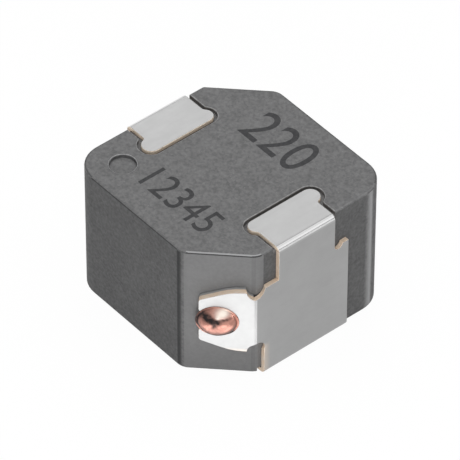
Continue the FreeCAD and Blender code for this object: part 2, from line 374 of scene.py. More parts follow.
def powder_grain(name):
    """Mottled pressed powder: patches, a few bright particles, and the height of the grain."""
    tree, entry, result = new_group(name, {"Fineness": 6.0}, ("Mottle", "Particles", "Height"))
    place = entry["Place"]
    fineness = entry["Fineness"]
    patches = spots(tree, place, fineness, 2.0, 0.55, 0.4)
    clouds = spots(tree, place, times(tree, fineness, 0.2))
    fine = spots(tree, place, times(tree, fineness, 4.0), 1.0)
    mottle = weighed(
        tree, stretched(tree, patches, 0.32, 0.68), stretched(tree, clouds, 0.3, 0.7), 0.25)
    tree.links.new(mottle, result["Mottle"])
    cells = add_node(tree, "ShaderNodeTexVoronoi", {
        "Vector": place, "Scale": times(tree, fineness, 2.5)}).outputs
    split = add_node(tree, "ShaderNodeSeparateColor", {"Color": cells["Color"]})
    chosen = stretched(tree, split.outputs["Red"], 0.93, 0.97)
    near = stretched(tree, cells["Distance"], 0.45, 0.2)
    tree.links.new(times(tree, chosen, near), result["Particles"])
    tree.links.new(weighed(tree, patches, fine, 0.3), result["Height"])
    return tree


def mill_streaks(name):
    """Faint streaks and clouds of rolled and plated sheet."""
    tree, entry, result = new_group(name, {"Fineness": 12.0}, ("Streaks", "Clouds"))
    drawn_out = add_node(tree, "ShaderNodeMapping", {
        "Vector": entry["Place"], "Scale": (1.0, 0.12, 1.0)}).outputs["Vector"]
    streaks = spots(tree, drawn_out, entry["Fineness"], 3.0, 0.6)
    clouds = spots(tree, entry["Place"], times(tree, entry["Fineness"], 0.15), 3.0, 0.6)
    tree.links.new(stretched(tree, streaks, 0.3, 0.7), result["Streaks"])
    tree.links.new(stretched(tree, clouds, 0.3, 0.7), result["Clouds"])
    return tree


def oxide_blotches(name):
    """Blotches where copper has darkened in the heat or tarnished, over a share of the surface."""
    tree, entry, result = new_group(name, {"Fineness": 4.0, "Cover": 0.5}, ("Blotches", "Height"))
    softness = 0.12
    patches = spots(tree, entry["Place"], entry["Fineness"], 3.0, 0.6, 0.6)
    edge = calculate(tree, "SUBTRACT", 1.0, entry["Cover"])
    low = calculate(tree, "SUBTRACT", edge, softness)
    high = calculate(tree, "ADD", edge, softness)
    tree.links.new(stretched(tree, patches, low, high), result["Blotches"])
    tree.links.new(patches, result["Height"])
    return tree


def new_material(name, preview):
    """A material with its shader, and the place on the piece in millimetres."""
    material = bpy.data.materials.new(name)
    material.use_nodes = True
    material.diffuse_color = (*preview, 1.0)
    tree = material.node_tree
    shader = tree.nodes["Principled BSDF"]
    where = add_node(tree, "ShaderNodeTexCoord")
    place = add_node(tree, "ShaderNodeMapping", {
        "Vector": where.outputs["Object"], "Scale": (1 / MM, 1 / MM, 1 / MM)})
    return material, tree, shader, place.outputs["Vector"]


def place_group(tree, build, place, **numbers):
    """The outputs of a shared group, built on its first use and placed with its own numbers."""
    name = build.__name__.replace("_", " ").capitalize()
    group = bpy.data.node_groups.get(name) or build(name)
    return add_node(tree, "ShaderNodeGroup", {"Place": place, **numbers}, node_tree=group).outputs


def finish(tree, shader, colour, roughness, plain):
    """Joins a colour and a roughness to the shader, and sets what is the same all over."""
    tree.links.new(colour, shader.inputs["Base Color"])
    tree.links.new(roughness, shader.inputs["Roughness"])
    for name, value in plain.items():
        shader.inputs[name].default_value = value


def roughen(tree, shader, height, depth, strength):
    """Joins a height to the shader as relief of the given depth in millimetres."""
    bump = add_node(tree, "ShaderNodeBump", {
        "Height": height, "Distance": depth * MM, "Strength": strength})
    tree.links.new(bump.outputs["Normal"], shader.inputs["Normal"])


def rim_material(core):
    """Pressed powder on the pockets' rims, made a little lighter as a painted highlight."""
    material, tree, shader, place = new_material("rim_highlight_finish", core.highlight_powder)
    grain = place_group(tree, powder_grain, place, Fineness=MM / core.grain_size)
    colour = blended(tree, grain["Mottle"], core.light_powder, core.highlight_powder)
    roughness = between(tree, grain["Mottle"], *RIM_ROUGHNESS)
    finish(tree, shader, colour, roughness, {"Specular IOR Level": RIM_SPECULAR})
    return material


def dimple_rim_shade(tree, place):
    """How dark the painted shade line round the dimple's rim makes a place."""
    reach = add_node(tree, "ShaderNodeVectorMath", {0: place, 1: DIMPLE}, operation="DISTANCE")
    beyond = calculate(tree, "SUBTRACT", reach.outputs["Value"], DIMPLE_RIM)
    off_line = calculate(tree, "ABSOLUTE", beyond)
    return stretched(tree, off_line, *DIMPLE_SHADE_LINE, 0.0, DIMPLE_SHADE_DARKNESS)


def powder_material(core):
    """Pressed iron powder composite: matte and mottled dark grey, pressed even on the chamfers with
    a painted sheen there, and with painted highlights and painted shade on its rims, corners, sides
    and pockets and round the dimple.
    """
    material, tree, shader, place = new_material("pressed_powder_finish", core.light_powder)
    grain = place_group(tree, powder_grain, place, Fineness=MM / core.grain_size)
    sheen_and_polish = marked(tree, "polish_and_sheen")
    painted_light = marked(tree, "painted_light")
    mottled = blended(tree, grain["Mottle"], core.dark_powder, core.light_powder)
    glint = scaled(core.light_powder, GLINT_BRIGHTNESS)
    rough = blended(tree, times(tree, grain["Particles"], GLINT_SHARE), mottled, glint)
    # The chamfers' even colour, made lighter as a painted sheen
    smooth_sheen = scaled(mixed(core.dark_powder, core.light_powder, 0.5), SHEEN_BRIGHTNESS)
    pressed = blended(tree, times(tree, sheen_and_polish, SMOOTH_SHEEN_SHARE), rough, smooth_sheen)
    # Painted highlight where the painted light is above 0
    highlit = blended(tree, stretched(tree, painted_light, 0.0, 1.0), pressed, core.highlight_powder)
    # Painted shade where it is below 0, and the painted shade line round the dimple
    painted_shade = stretched(tree, painted_light, 0.0, -1.0)
    dark = calculate(tree, "MAXIMUM", painted_shade, dimple_rim_shade(tree, place))
    colour = blended(tree, dark, highlit, core.painted_shade_powder)
    matte = between(tree, grain["Mottle"], *POWDER_ROUGHNESS)
    satin = calculate(tree, "SUBTRACT", matte, times(tree, sheen_and_polish, SMOOTH_ROUGHNESS))
    finish(tree, shader, colour, satin, {"Specular IOR Level": POWDER_SPECULAR})
    depth = calculate(tree, "SUBTRACT", 1.0, times(tree, sheen_and_polish, SMOOTH_RELIEF))
    roughen(tree, shader, times(tree, grain["Height"], depth), GRAIN_RELIEF, 0.5)
    return material


def ink_material(mark, core):
    """Printed digits: darker than the block, and as grainy as the powder below them."""
    material, tree, shader, place = new_material("printed_digits", mark.ink)
    grain = place_group(tree, powder_grain, place, Fineness=MM / core.grain_size)
    worn = mixed(mark.ink, core.dark_powder, INK_WEAR)
    colour = blended(tree, grain["Mottle"], mark.ink, worn)
    roughness = between(tree, grain["Mottle"], *INK_ROUGHNESS)
    finish(tree, shader, colour, roughness, {"Specular IOR Level": POWDER_SPECULAR})
    roughen(tree, shader, grain["Height"], GRAIN_RELIEF, 0.4)
    return material


def tin_material(terminal):
    """Satin tin plating, with painted highlights along the folds, and thin low on the plate's free
    edge.
    """
    material, tree, shader, place = new_material("tin_plating", terminal.tin)
    streaks = place_group(tree, mill_streaks, place, Fineness=10.0)
    dull = scaled(terminal.tin, 0.97)
    clear = scaled(terminal.tin, 1.03)
    plain = blended(tree, streaks["Clouds"], dull, clear)
    # Painted highlight along the folds
    bright = blended(tree, marked(tree, "fold_highlight"), plain, terminal.fold_highlight_tin)
    apart = add_node(tree, "ShaderNodeSeparateXYZ", {"Vector": place}).outputs
    sideways = times(tree, apart["Y"], calculate(tree, "SIGN", apart["X"]))
    inner, outer = (PLATE_EDGE + reach for reach in COPPERY_REACH)
    near_edge = stretched(tree, sideways, inner, outer, 0.0, COPPERY_COVER)
    low_down = stretched(tree, apart["Z"], *COPPERY_HEIGHT)
    coppery = mixed(terminal.tin, terminal.cut_copper, COPPERY_SHARE)
    colour = blended(tree, times(tree, near_edge, low_down), bright, coppery)
    roughness = between(tree, streaks["Streaks"], *TIN_ROUGHNESS)
    finish(tree, shader, colour, roughness, {"Metallic": 1.0})
    roughen(tree, shader, streaks["Streaks"], TIN_RELIEF, 0.4)
    return material


def cut_edge_material(terminal):
    """Bare copper at the cut edges, with smears of tin, painted shade along the tab's foot and
    painted light above it, and a grey seam behind the wing that stands in for shade.
    """
    material, tree, shader, place = new_material("cut_copper_edge", terminal.cut_copper)
    smear = place_group(tree, oxide_blotches, place, Fineness=5.0, Cover=0.42)
    streaks = place_group(tree, mill_streaks, place, Fineness=24.0)
    copper = terminal.cut_copper
    bright = blended(tree, smear["Blotches"], copper, mixed(copper, SMEARED_TIN, SMEARED_SHARE))
    # Painted shade along the tab's foot, and painted light on the tab's edges above it
    foot_shade = [part * share for part, share in zip(copper, FOOT_SHADE_SHARES)]
    crest_light = [part + (1.0 - part) * share for part, share in zip(copper, CREST_LIGHT_SHARES)]
    height = add_node(tree, "ShaderNodeSeparateXYZ", {"Vector": place}).outputs["Z"]
    foot = TOP_Z - SHEET
    below_tab = stretched(tree, height, foot, foot - 0.01)
    above_foot = stretched(tree, height, foot + 0.01, foot + 0.04)
    off_foot = calculate(tree, "MAXIMUM", below_tab, above_foot)
    edge = blended(tree, off_foot, foot_shade, blended(tree, below_tab, crest_light, bright))
    # The grey seam behind the wing stands in for the soft shade above the wing
    seam = stretched(tree, marked(tree, "behind"), *SEAM_START)
    colour = blended(tree, seam, edge, SEAM_GREY)
    roughness = between(tree, streaks["Streaks"], *CUT_ROUGHNESS)
    finish(tree, shader, colour, roughness, {"Metallic": CUT_METALLIC})
    roughen(tree, shader, smear["Height"], COPPER_RELIEF, 0.5)
    return material


def weld_material(weld):
    """Glossy melted copper, with painted dark reflections in its hollows, painted shade in the
    groove inside its toe, and a pale painted highlight.
    """
    material, tree, shader, place = new_material("melted_copper_finish", weld.copper)
    # The blotches tint the copper, make the painted dark uneven, and give the relief
    painted_dark = place_group(tree, oxide_blotches, place, Fineness=6.0, Cover=0.45)
    uneven = stretched(tree, painted_dark["Height"], 0.3, 0.7, 0.85, 1.1)
    cover = calculate(tree, "MULTIPLY", marked(tree, "painted_dark"), uneven, clamp=True)
    clean = blended(tree, painted_dark["Blotches"], weld.copper, scaled(weld.copper, 0.7))
    highlighted = blended(tree, marked(tree, "painted_highlight"), clean, weld.tinned_copper)
    colour = blended(tree, cover, highlighted, weld.oxide)
    finish(tree, shader, colour, between(tree, cover, *WELD_ROUGHNESS), {"Metallic": 1.0})
    roughen(tree, shader, painted_dark["Height"], COPPER_RELIEF, 0.35)
    return material


def enamel_material(coil):
    """Copper wire under clear enamel, with a little variation along it."""
    material, tree, shader, place = new_material("enamelled_wire", coil.copper)
    tarnish = place_group(tree, oxide_blotches, place, Fineness=3.0, Cover=0.5)
    colour = blended(tree, tarnish["Blotches"], coil.copper, scaled(coil.copper, 0.75))
    roughness = stretched(tree, tarnish["Height"], 0.3, 0.7, *ENAMEL_ROUGHNESS)
    finish(tree, shader, colour, roughness, {
        "Metallic": 1.0, "Coat Weight": 0.6, "Coat Roughness": 0.12})
    return material


def add_object(name, data):
    """A new object in the scene for a mesh, a curve, a lamp or a camera."""
    made = bpy.data.objects.new(name, data)
    bpy.context.scene.collection.objects.link(made)
    return made


def need(found, what):
    """Stops an operator that can't find what it works on."""
    if not found:
        raise RuntimeError(what)


def packed(node_name):
    """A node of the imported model."""
    need(node_name in frame["nodes"], "The packed model has no " + node_name)
    return frame["nodes"][node_name]


def merged_copy(node_name, piece_name, finishes):
    """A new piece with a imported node's surface, its triangles joined into whole faces."""
    source = packed(node_name)
    mesh = bpy.data.meshes.new(piece_name)
    surface = bmesh.new()
    surface.from_mesh(source.data)
    bmesh.ops.remove_doubles(surface, verts=surface.verts[:], dist=1e-8)
    bmesh.ops.dissolve_limit(
        surface, angle_limit=math.radians(0.5), verts=surface.verts[:], edges=surface.edges[:])
    surface.to_mesh(mesh)
    surface.free()
    if "custom_normal" in mesh.attributes:
        mesh.attributes.remove(mesh.attributes["custom_normal"])
    mesh.materials.clear()
    for material in finishes:
        mesh.materials.append(material)
    return add_object(piece_name, mesh)


def soften(piece, name, width, segments):
    """The modifier that rounds a piece's edges by a width in metres."""
    bevel = piece.modifiers.new(name, "BEVEL")
    bevel.width = width
    bevel.segments = segments
    bevel.profile = 0.5
    bevel.use_clamp_overlap = False
    return bevel


def shade_round(piece, sharp_degrees):
    """Smooth shading that stays flat on flat faces."""
    mesh = piece.data
    for face in mesh.polygons:
        face.use_smooth = True
    mesh.set_sharp_from_angle(angle=math.radians(sharp_degrees))
    weighted = piece.modifiers.new("Even shading", "WEIGHTED_NORMAL")
    weighted.keep_sharp = True
    weighted.weight = 80


def settle(piece):
    """Lets a finished piece ride on the part."""
    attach(piece, ROOT)


class InductorDressCore(bpy.types.Operator):
    """Give the pressed block its powder finish with painted light and shade, and softened pocket
    rims
    """

    bl_idname = "inductor.dress_core"
    bl_label = "Dress Core"

    # Directions are degrees round Z from -Y; the block's second half repeats those up to 180.
    # The painted shade on a chamfer's first corner ends at one, and a faint painted shade lies
    # between two others.
    FACET = 7.5
    SHADE_ENDS = 29.0
    PAST_CHAMFER = (46.0, 59.0)
    # The painted light runs from 1, a painted highlight, to -1, painted shade.
    # It is given by an upright edge's direction on a chamfer's first corner and a round one,
    CORNER_SHADE_FADE = {0.0: -0.8, 7.5: -1.0, 15.0: -0.8, 22.5: -0.1}
    CORNER_HIGHLIGHT = {97.5: 0.38, 105.0: 0.95}
    # for whole faces,
    CORNER_SHADE = -1.0
    SIDE_SHADE = -0.38
    POCKET_SHADE = -0.35
    CHAMFER_SHADE = -0.15
    # and for the top rim: the direction it holds up to, on upper facets, on lower facets
    RIM_LIGHT = (
        (1.0, -0.1, -1.0), (36.0, 0.0, -0.35), (80.0, 0.9, -0.8), (120.0, 0.12, 0.0),
        (359.0, -0.5, 0.0), (361.0, -0.1, -1.0),
    )
    # The round corners' centres, where the outside starts, and how deep the pockets are, in mm
    ROUND_CENTRE = 2.5
    OUTSIDE = 3.3
    POCKET_DEPTH = 0.5

    def execute(self, context):
        settings = context.scene.inductor_core
        finishes = (powder_material(settings), rim_material(settings))
        piece = merged_copy("core_body", "pressed_block", finishes)
        self.mark_surface(piece)
        # The rounded pocket rims take the rim material, which is a painted highlight
        bevel = soften(piece, "Worn rims", settings.rim_softness, 3)
        bevel.material = 1
        bevel.limit_method = "WEIGHT"
        shade_round(piece, 50.0)
        settle(piece)
        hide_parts("core_body")
        return {"FINISHED"}

    @classmethod
    def mark_surface(cls, piece):
        """Marks the pockets' rims for rounding, where the block gets painted highlights and painted
        shade, and where it is pressed even, with a painted sheen.
        """
        surface = bmesh.new()
        surface.from_mesh(piece.data)
        weights = surface.edges.layers.float.new("bevel_weight_edge")
        painted_light = surface.loops.layers.float.new("painted_light")
        polish_and_sheen = surface.loops.layers.float.new("polish_and_sheen")
        top = CORE_TOP * MM - 1e-6
        sharp = math.radians(60)
        for edge in surface.edges:
            at_top = all(vertex.co.z > top for vertex in edge.verts)
            if at_top and edge.is_manifold and edge.calc_face_angle() > sharp:
                edge[weights] = 1.0
        for face in surface.faces:
            centre = face.calc_center_median() / MM
            onward = UP.cross(face.normal)
            turn, lean = cls.directions(face.normal)
            face_light, face_polish_and_sheen = cls.judge(centre, face.normal, turn, lean)
            for loop in face.loops:
                place = loop.vert.co / MM
                loop[polish_and_sheen] = face_polish_and_sheen
                loop[painted_light] = face_light
                # A chamfer's first corner: painted shade that fades across its upright edges
                if face_light == cls.CORNER_SHADE:
                    half_facet = math.copysign(cls.FACET / 2, (place - centre).dot(onward))
                    loop[painted_light] = cls.at_edge(cls.CORNER_SHADE_FADE, turn % 180 + half_facet, 0.0)
                # Round corners: an upright band of painted highlight
                if abs(lean) < 1.0:
                    loop[painted_light] = cls.rub(place, loop[painted_light])
        surface.to_mesh(piece.data)
        surface.free()

    @classmethod
    def at_edge(cls, table, turn, otherwise):
        """A table's value for the upright edge nearest to a direction."""
        return table.get(round(turn / cls.FACET) * cls.FACET, otherwise)

    @classmethod
    def rub(cls, place, otherwise):
        """How bright the painted highlight makes a point where it lies on the upright band on a
        round corner.
        """
        centre = math.copysign(cls.ROUND_CENTRE, place.x)
        if place.x * place.y < 0 or min(abs(place.x), abs(place.y)) < cls.ROUND_CENTRE:
            return otherwise
        turn = math.degrees(math.atan2(place.x - centre, centre - place.y)) % 180
        return cls.at_edge(cls.CORNER_HIGHLIGHT, turn, otherwise)

    @staticmethod
    def directions(normal):
        """A face's direction, and its slope above the horizon in degrees."""
        turn = math.degrees(math.atan2(normal.x, -normal.y)) % 360
        return turn, math.degrees(math.asin(max(-1.0, min(1.0, normal.z))))

    @classmethod
    def judge(cls, centre, normal, turn, lean):
        """The painted light and shade of a face of the block, and how even it was pressed, which
        also sets its painted sheen.
        """
        level = math.hypot(normal.x, normal.y)
        reach = (centre.x * normal.x + centre.y * normal.y) / max(level, 1e-6)
        if abs(lean) > 88.0:
            return 0.0, 0.0
        if reach < cls.OUTSIDE:
            # Pocket walls: painted shade
            in_pocket = centre.z > CORE_TOP - cls.POCKET_DEPTH and lean < 30.0
            return (cls.POCKET_SHADE if in_pocket else 0.0), 0.0
        side = turn % 180
        # Upright faces: painted shade on the flat sides and round corners, on a chamfer's first
        # corner and faintly past the chamfer, and a painted sheen on the chamfers
        if abs(lean) < 1.0:
            if side < 1.0 or side > 89.0:
                return cls.SIDE_SHADE, 0.0
            if side < cls.SHADE_ENDS:
                return cls.CORNER_SHADE, 0.0
            low, high = cls.PAST_CHAMFER
            return (cls.CHAMFER_SHADE if low < side < high else 0.0), 1.0
        if lean < 0.0:
            return 0.0, 0.0
        # Top rim: painted highlights and painted shade on its upper and lower facets, by direction
        for end, upper, lower in cls.RIM_LIGHT:
            if turn < end:
                return (upper if lean > 45.0 else lower), 0.0


class InductorDressTerminals(bpy.types.Operator):
    """Give both terminals tin plating, bare copper edges and painted highlights along the folds"""

    bl_idname = "inductor.dress_terminals"
    bl_label = "Dress Terminals"

    # How far the seam behind the wing reaches back towards the chamfer, in mm
    SEAM = 0.115
    # How strong the painted highlight is on each facet of a fold, from the plate to the tab and
    # from the plate to the wing, and one facet's angle in degrees
    TAB_FOLD = (0.1, 0.5, 0.0, 1.0, 0.75, 0.0)
    WING_FOLD = (0.45, 0.0, 0.0)
    FACET = 15.0

    def execute(self, context):
        settings = context.scene.inductor_terminals
        finishes = (tin_material(settings), cut_edge_material(settings))
        for side, turn in SIDES:
            node = side + "_terminal"
            piece = merged_copy(node, side + "_terminal_sheet", finishes)
            self.fill_seam(piece, turn)
            self.sort_faces(piece, turn)
            bevel = soften(piece, "Soft edges", settings.edge_softness, 2)
            bevel.limit_method = "ANGLE"
            bevel.angle_limit = math.radians(50.0)
            shade_round(piece, 65.0)
            settle(piece)
            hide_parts(node)
        return {"FINISHED"}

    @classmethod
    def fill_seam(cls, piece, turn):
        """Moves the wing's inner face back to fill the seam behind the wing, and marks it, as the
        seam is grey, a colour that stands in for the soft shade above the wing.
        """
        surface = bmesh.new()
        surface.from_mesh(piece.data)
        behind = surface.verts.layers.float.new("behind")
        into = turn.to_3x3() @ -OUT_OF_WING
        fold = turn @ (FOLD * MM)
        inner = []
        for face in surface.faces:
            depth = (face.calc_center_median() - fold).dot(into) / MM
            if face.normal.dot(into) > 0.999 and 0.1 < depth < 0.2:
                inner.append(face)
        need(inner, "The wing has no inner face")
        moved = {vertex for face in inner for vertex in face.verts}
        for vertex in moved:
            vertex[behind] = 1.0
        bmesh.ops.translate(surface, verts=list(moved), vec=into * cls.SEAM * MM)
        surface.to_mesh(piece.data)
        surface.free()

    @classmethod
    def sort_faces(cls, piece, turn):
        """Gives each face tin or bare copper, and puts the painted highlights on the folds."""
        mesh = piece.data
        fold_highlight = mesh.attributes.new("fold_highlight", "FLOAT", "FACE")
        for face in mesh.polygons:
            centre = turn @ (face.center / MM)
            normal = turn.to_3x3() @ face.normal
            tin, highlit = cls.judge(centre, normal)
            face.material_index = 0 if tin else 1
            fold_highlight.data[face.index].value = highlit

    @classmethod
    def judge(cls, centre, normal):
        """Whether a face of the right terminal is plated sheet, and how strong its painted
        highlight is.
        """
        near_top = centre.z > TOP_Z - OUTER_BEND
        near_bottom = centre.z < OUTER_BEND
        # The tab's and the pad's flat faces, and the folds between them and the plate
        if near_top or near_bottom:
            if centre.x < END_X - OUTER_BEND and centre.y > PLATE_EDGE - 0.1:
                return abs(normal.z) > 0.5, 0.0
            lean = math.degrees(math.atan2(normal.z, normal.x))
            on_fold = near_top and 2.0 < lean < 88.0
            return abs(normal.y) < 0.5, cls.TAB_FOLD[int(lean / cls.FACET)] if on_fold else 0.0
        if abs(normal.z) > 0.3:
            return False, 0.0
        # The upright faces of the plate and the wing, and the fold between them
        turned = math.degrees(math.atan2(normal.y, normal.x))
        outside = -50.0 < turned < 5.0
        inside = turned > 130.0 or turned < -175.0
        on_fold = -43.0 < turned < -2.0
        return outside or inside, cls.WING_FOLD[int(-turned / cls.FACET)] if on_fold else 0.0


class InductorMakeWelds(bpy.types.Operator):
    """Model the two welds as beads of melted copper with a spread toe"""

    bl_idname = "inductor.make_welds"
    bl_label = "Make Welds"

    # The profile from the crown to the toe: share of the weld's half width, and of its rise
    PROFILE = (
        (0.0, 1.0), (0.14, 0.99), (0.28, 0.96), (0.42, 0.9), (0.54, 0.81), (0.65, 0.69),
        (0.74, 0.55), (0.81, 0.4), (0.86, 0.25), (0.885, 0.13), (0.905, 0.06), (0.925, 0.075),
        (0.95, 0.11), (0.975, 0.095), (0.99, 0.05), (1.0, 0.0), (0.985, -0.2),
    )
    TURNS = 72
    # From the fold to the wire, from the wire to the weld's middle, and up from the board, in mm
    WIRE_FROM_FOLD = 1.1192
    LEAN = 0.05
    WELD_HEIGHT = 2.46

    # Soft hills on the weld: height, centre and reach, as shares of its half sizes
    DENTS = (
        (-0.24, (0.32, 0.48), (0.28, 0.18)),
        (-0.16, (-0.32, 0.45), (0.34, 0.10)),
        (-0.12, (0.10, 0.10), (0.14, 0.26)),
        (0.10, (-0.35, -0.25), (0.35, 0.30)),
    )
    # Painted dark reflections: height, centre and reach
    BURNT = (
        (1.8, (0.40, 0.48), (0.22, 0.18)),
        (1.4, (0.18, 0.36), (0.20, 0.14)),
        (1.2, (0.0, 0.28), (0.16, 0.13)),
        (1.1, (-0.34, 0.45), (0.26, 0.07)),
        (1.0, (0.12, 0.10), (0.10, 0.16)),
        (0.25, (0.68, 0.35), (0.20, 0.30)),
        (1.6, (-0.50, -0.64), (0.28, 0.18)),
        (0.55, (0.0, -0.40), (0.95, 0.38)),
    )
    # Painted highlight: height, centre and reach
    TINNED = (
        (1.2, (-0.26, 0.74), (0.28, 0.18)),
        (0.9, (-0.05, 0.57), (0.10, 0.08)),
    )
    # The painted shade in the groove inside the toe: darkness, reach, how far it moves in towards
    # the fold and low down, width, and darkest direction in degrees
    GROOVE_DARKNESS = 1.8
    GROOVE_REACH = 0.93
    GROOVE_MOVES = (0.05, 0.3)
    GROOVE_WIDTH = 0.09
    GROOVE_TURN = -60.0
    # Ripples: height, fineness and layer of the noise; and the square of the dents' reach
    RIPPLE = 0.04
    RIPPLE_FINENESS = 3.0
    RIPPLE_LAYER = 4.0
    DENT_LIMIT = 0.8

    def execute(self, context):
        settings = context.scene.inductor_welds
        copper = weld_material(settings)
        for side, turn in SIDES:
            node = side + "_weld_bead"
            piece = self.bead(settings, side + "_weld", turn)
            piece.data.materials.append(copper)
            settle(piece)
            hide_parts(node)
        return {"FINISHED"}

    def bead(self, settings, name, turn):
        """One weld, spun from its profile, drawn out along the wing and dented."""
        surface = bmesh.new()
        ring = [surface.verts.new((out, 0.0, rise)) for out, rise in self.PROFILE]
        edges = [surface.edges.new(pair) for pair in zip(ring, ring[1:])]
        bmesh.ops.spin(
            surface, geom=ring + edges, axis=(0, 0, 1), cent=(0, 0, 0), dvec=(0, 0, 0),
            angle=math.tau, steps=self.TURNS, use_merge=True)
        bmesh.ops.remove_doubles(surface, verts=surface.verts[:], dist=1e-5)
        rim = [edge for edge in surface.edges if edge.is_boundary]
        bmesh.ops.holes_fill(surface, edges=rim, sides=0)
        painted_dark = surface.verts.layers.float.new("painted_dark")
        painted_highlight = surface.verts.layers.float.new("painted_highlight")
        for vertex in surface.verts:
            vertex[painted_dark] = self.painted_dark_share(vertex.co)
            vertex[painted_highlight] = min(1.0, self.hills(self.TINNED, vertex.co))
            vertex.co.z += self.dent(vertex.co)
            vertex.co.x *= settings.length / 2
            vertex.co.y *= settings.width / 2
            vertex.co.z *= settings.rise
        place = Matrix((ALONG_WING, UP, OUT_OF_WING)).transposed().to_4x4()
        centre = FOLD + ALONG_WING * (self.WIRE_FROM_FOLD + self.LEAN) + UP * self.WELD_HEIGHT
        place.translation = centre * MM
        bmesh.ops.transform(surface, matrix=turn @ place, verts=surface.verts[:])
        bmesh.ops.recalc_face_normals(surface, faces=surface.faces[:])
        mesh = bpy.data.meshes.new(name)
        surface.to_mesh(mesh)
        surface.free()
        for face in mesh.polygons:
            face.use_smooth = True
        piece = add_object(name, mesh)
        finer = piece.modifiers.new("Finer", "SUBSURF")
        finer.levels = 1
        finer.render_levels = 1
        return piece

    @staticmethod
    def hills(hills, place):
        """The sum of some soft hills at a place on the weld."""
        total = 0.0
        for height, centre, reach in hills:
            along = (place.x - centre[0]) / reach[0]
            upward = (place.y - centre[1]) / reach[1]
            total += height * math.exp(-along * along - upward * upward)
        return total

    @classmethod
    def dent(cls, place):
        """How far the frozen surface departs from the plain bead."""
        inner = max(0.0, 1.0 - (place.x ** 2 + place.y ** 2) / cls.DENT_LIMIT)
        at = place.xy.to_3d() * cls.RIPPLE_FINENESS + UP * cls.RIPPLE_LAYER
        return inner ** 0.5 * (cls.hills(cls.DENTS, place) + cls.RIPPLE * noise.noise(at))

    @classmethod
    def painted_dark_share(cls, place):
        """How dark the copper is painted: painted dark reflections in patches, and painted shade in
        the groove inside the toe.
        """
        along, upward = cls.GROOVE_MOVES
        reach = cls.GROOVE_REACH + upward * min(0.0, place.y) + along * min(0.0, place.x)
        off_groove = (math.hypot(place.x, place.y) - reach) / cls.GROOVE_WIDTH
        round_about = math.atan2(place.y, place.x) - math.radians(cls.GROOVE_TURN)
        groove = cls.GROOVE_DARKNESS * math.exp(-off_groove ** 2)
        groove *= 0.5 + 0.5 * math.cos(round_about)
        return min(1.0, cls.hills(cls.BURNT, place) + groove)


class InductorFinishCoil(bpy.types.Operator):
    """Give the coil inside the block its enamelled copper"""

    bl_idname = "inductor.finish_coil"
    bl_label = "Finish Coil"

    def execute(self, context):
        coil = packed("coil")
        coil.data.materials.clear()
        coil.data.materials.append(enamel_material(context.scene.inductor_coil))
        return {"FINISHED"}


class InductorPrintNumbers(bpy.types.Operator):
    """Print the two plain numbers on the top of the block"""

    bl_idname = "inductor.print_numbers"
    bl_label = "Print Numbers"

    # The ink's thickness, and two corners of each line of digits, in mm
    THICKNESS = 0.004
    LARGE_LINE = ((-1.27, 1.32), (1.29, 2.75))
    SMALL_LINE = ((-1.43, -2.54), (1.61, -1.50))

    def execute(self, context):
        mark = context.scene.inductor_marks
        ink = ink_material(mark, context.scene.inductor_core)
        self.print_line("large_number", mark.large_number, *self.LARGE_LINE, ink)
        self.print_line("small_number", mark.small_number, *self.SMALL_LINE, ink)
        return {"FINISHED"}

    def print_line(self, name, digits, low, high, ink):
        """One line of digits, fitted between two corners."""
        need(digits, "There are no digits to print")
        curve = bpy.data.curves.new(name, "FONT")
        curve.body = digits
        curve.extrude = 0.5
        curve.resolution_u = 6
        written = add_object(name + "_outline", curve)
        bpy.context.view_layer.update()
        evaluated = written.evaluated_get(bpy.context.evaluated_depsgraph_get())
        mesh = bpy.data.meshes.new_from_object(evaluated)
        bpy.data.objects.remove(written)
        axes = list(zip(*(vertex.co for vertex in mesh.vertices)))
        least = Vector([min(axis) for axis in axes])
        most = Vector([max(axis) for axis in axes])
        start = Vector((low[0], low[1], CORE_TOP - self.THICKNESS / 4))
        size = Vector((high[0] - low[0], high[1] - low[1], self.THICKNESS))
        fit = [part / whole for part, whole in zip(size, most - least)]
        place = Matrix.Scale(MM, 4) @ Matrix.Translation(start)
        place = place @ Matrix.Diagonal((*fit, 1.0)) @ Matrix.Translation(-least)
        mesh.transform(place)
        mesh.name = name
        mesh.materials.clear()
        mesh.materials.append(ink)
        piece = add_object(name, mesh)
        settle(piece)


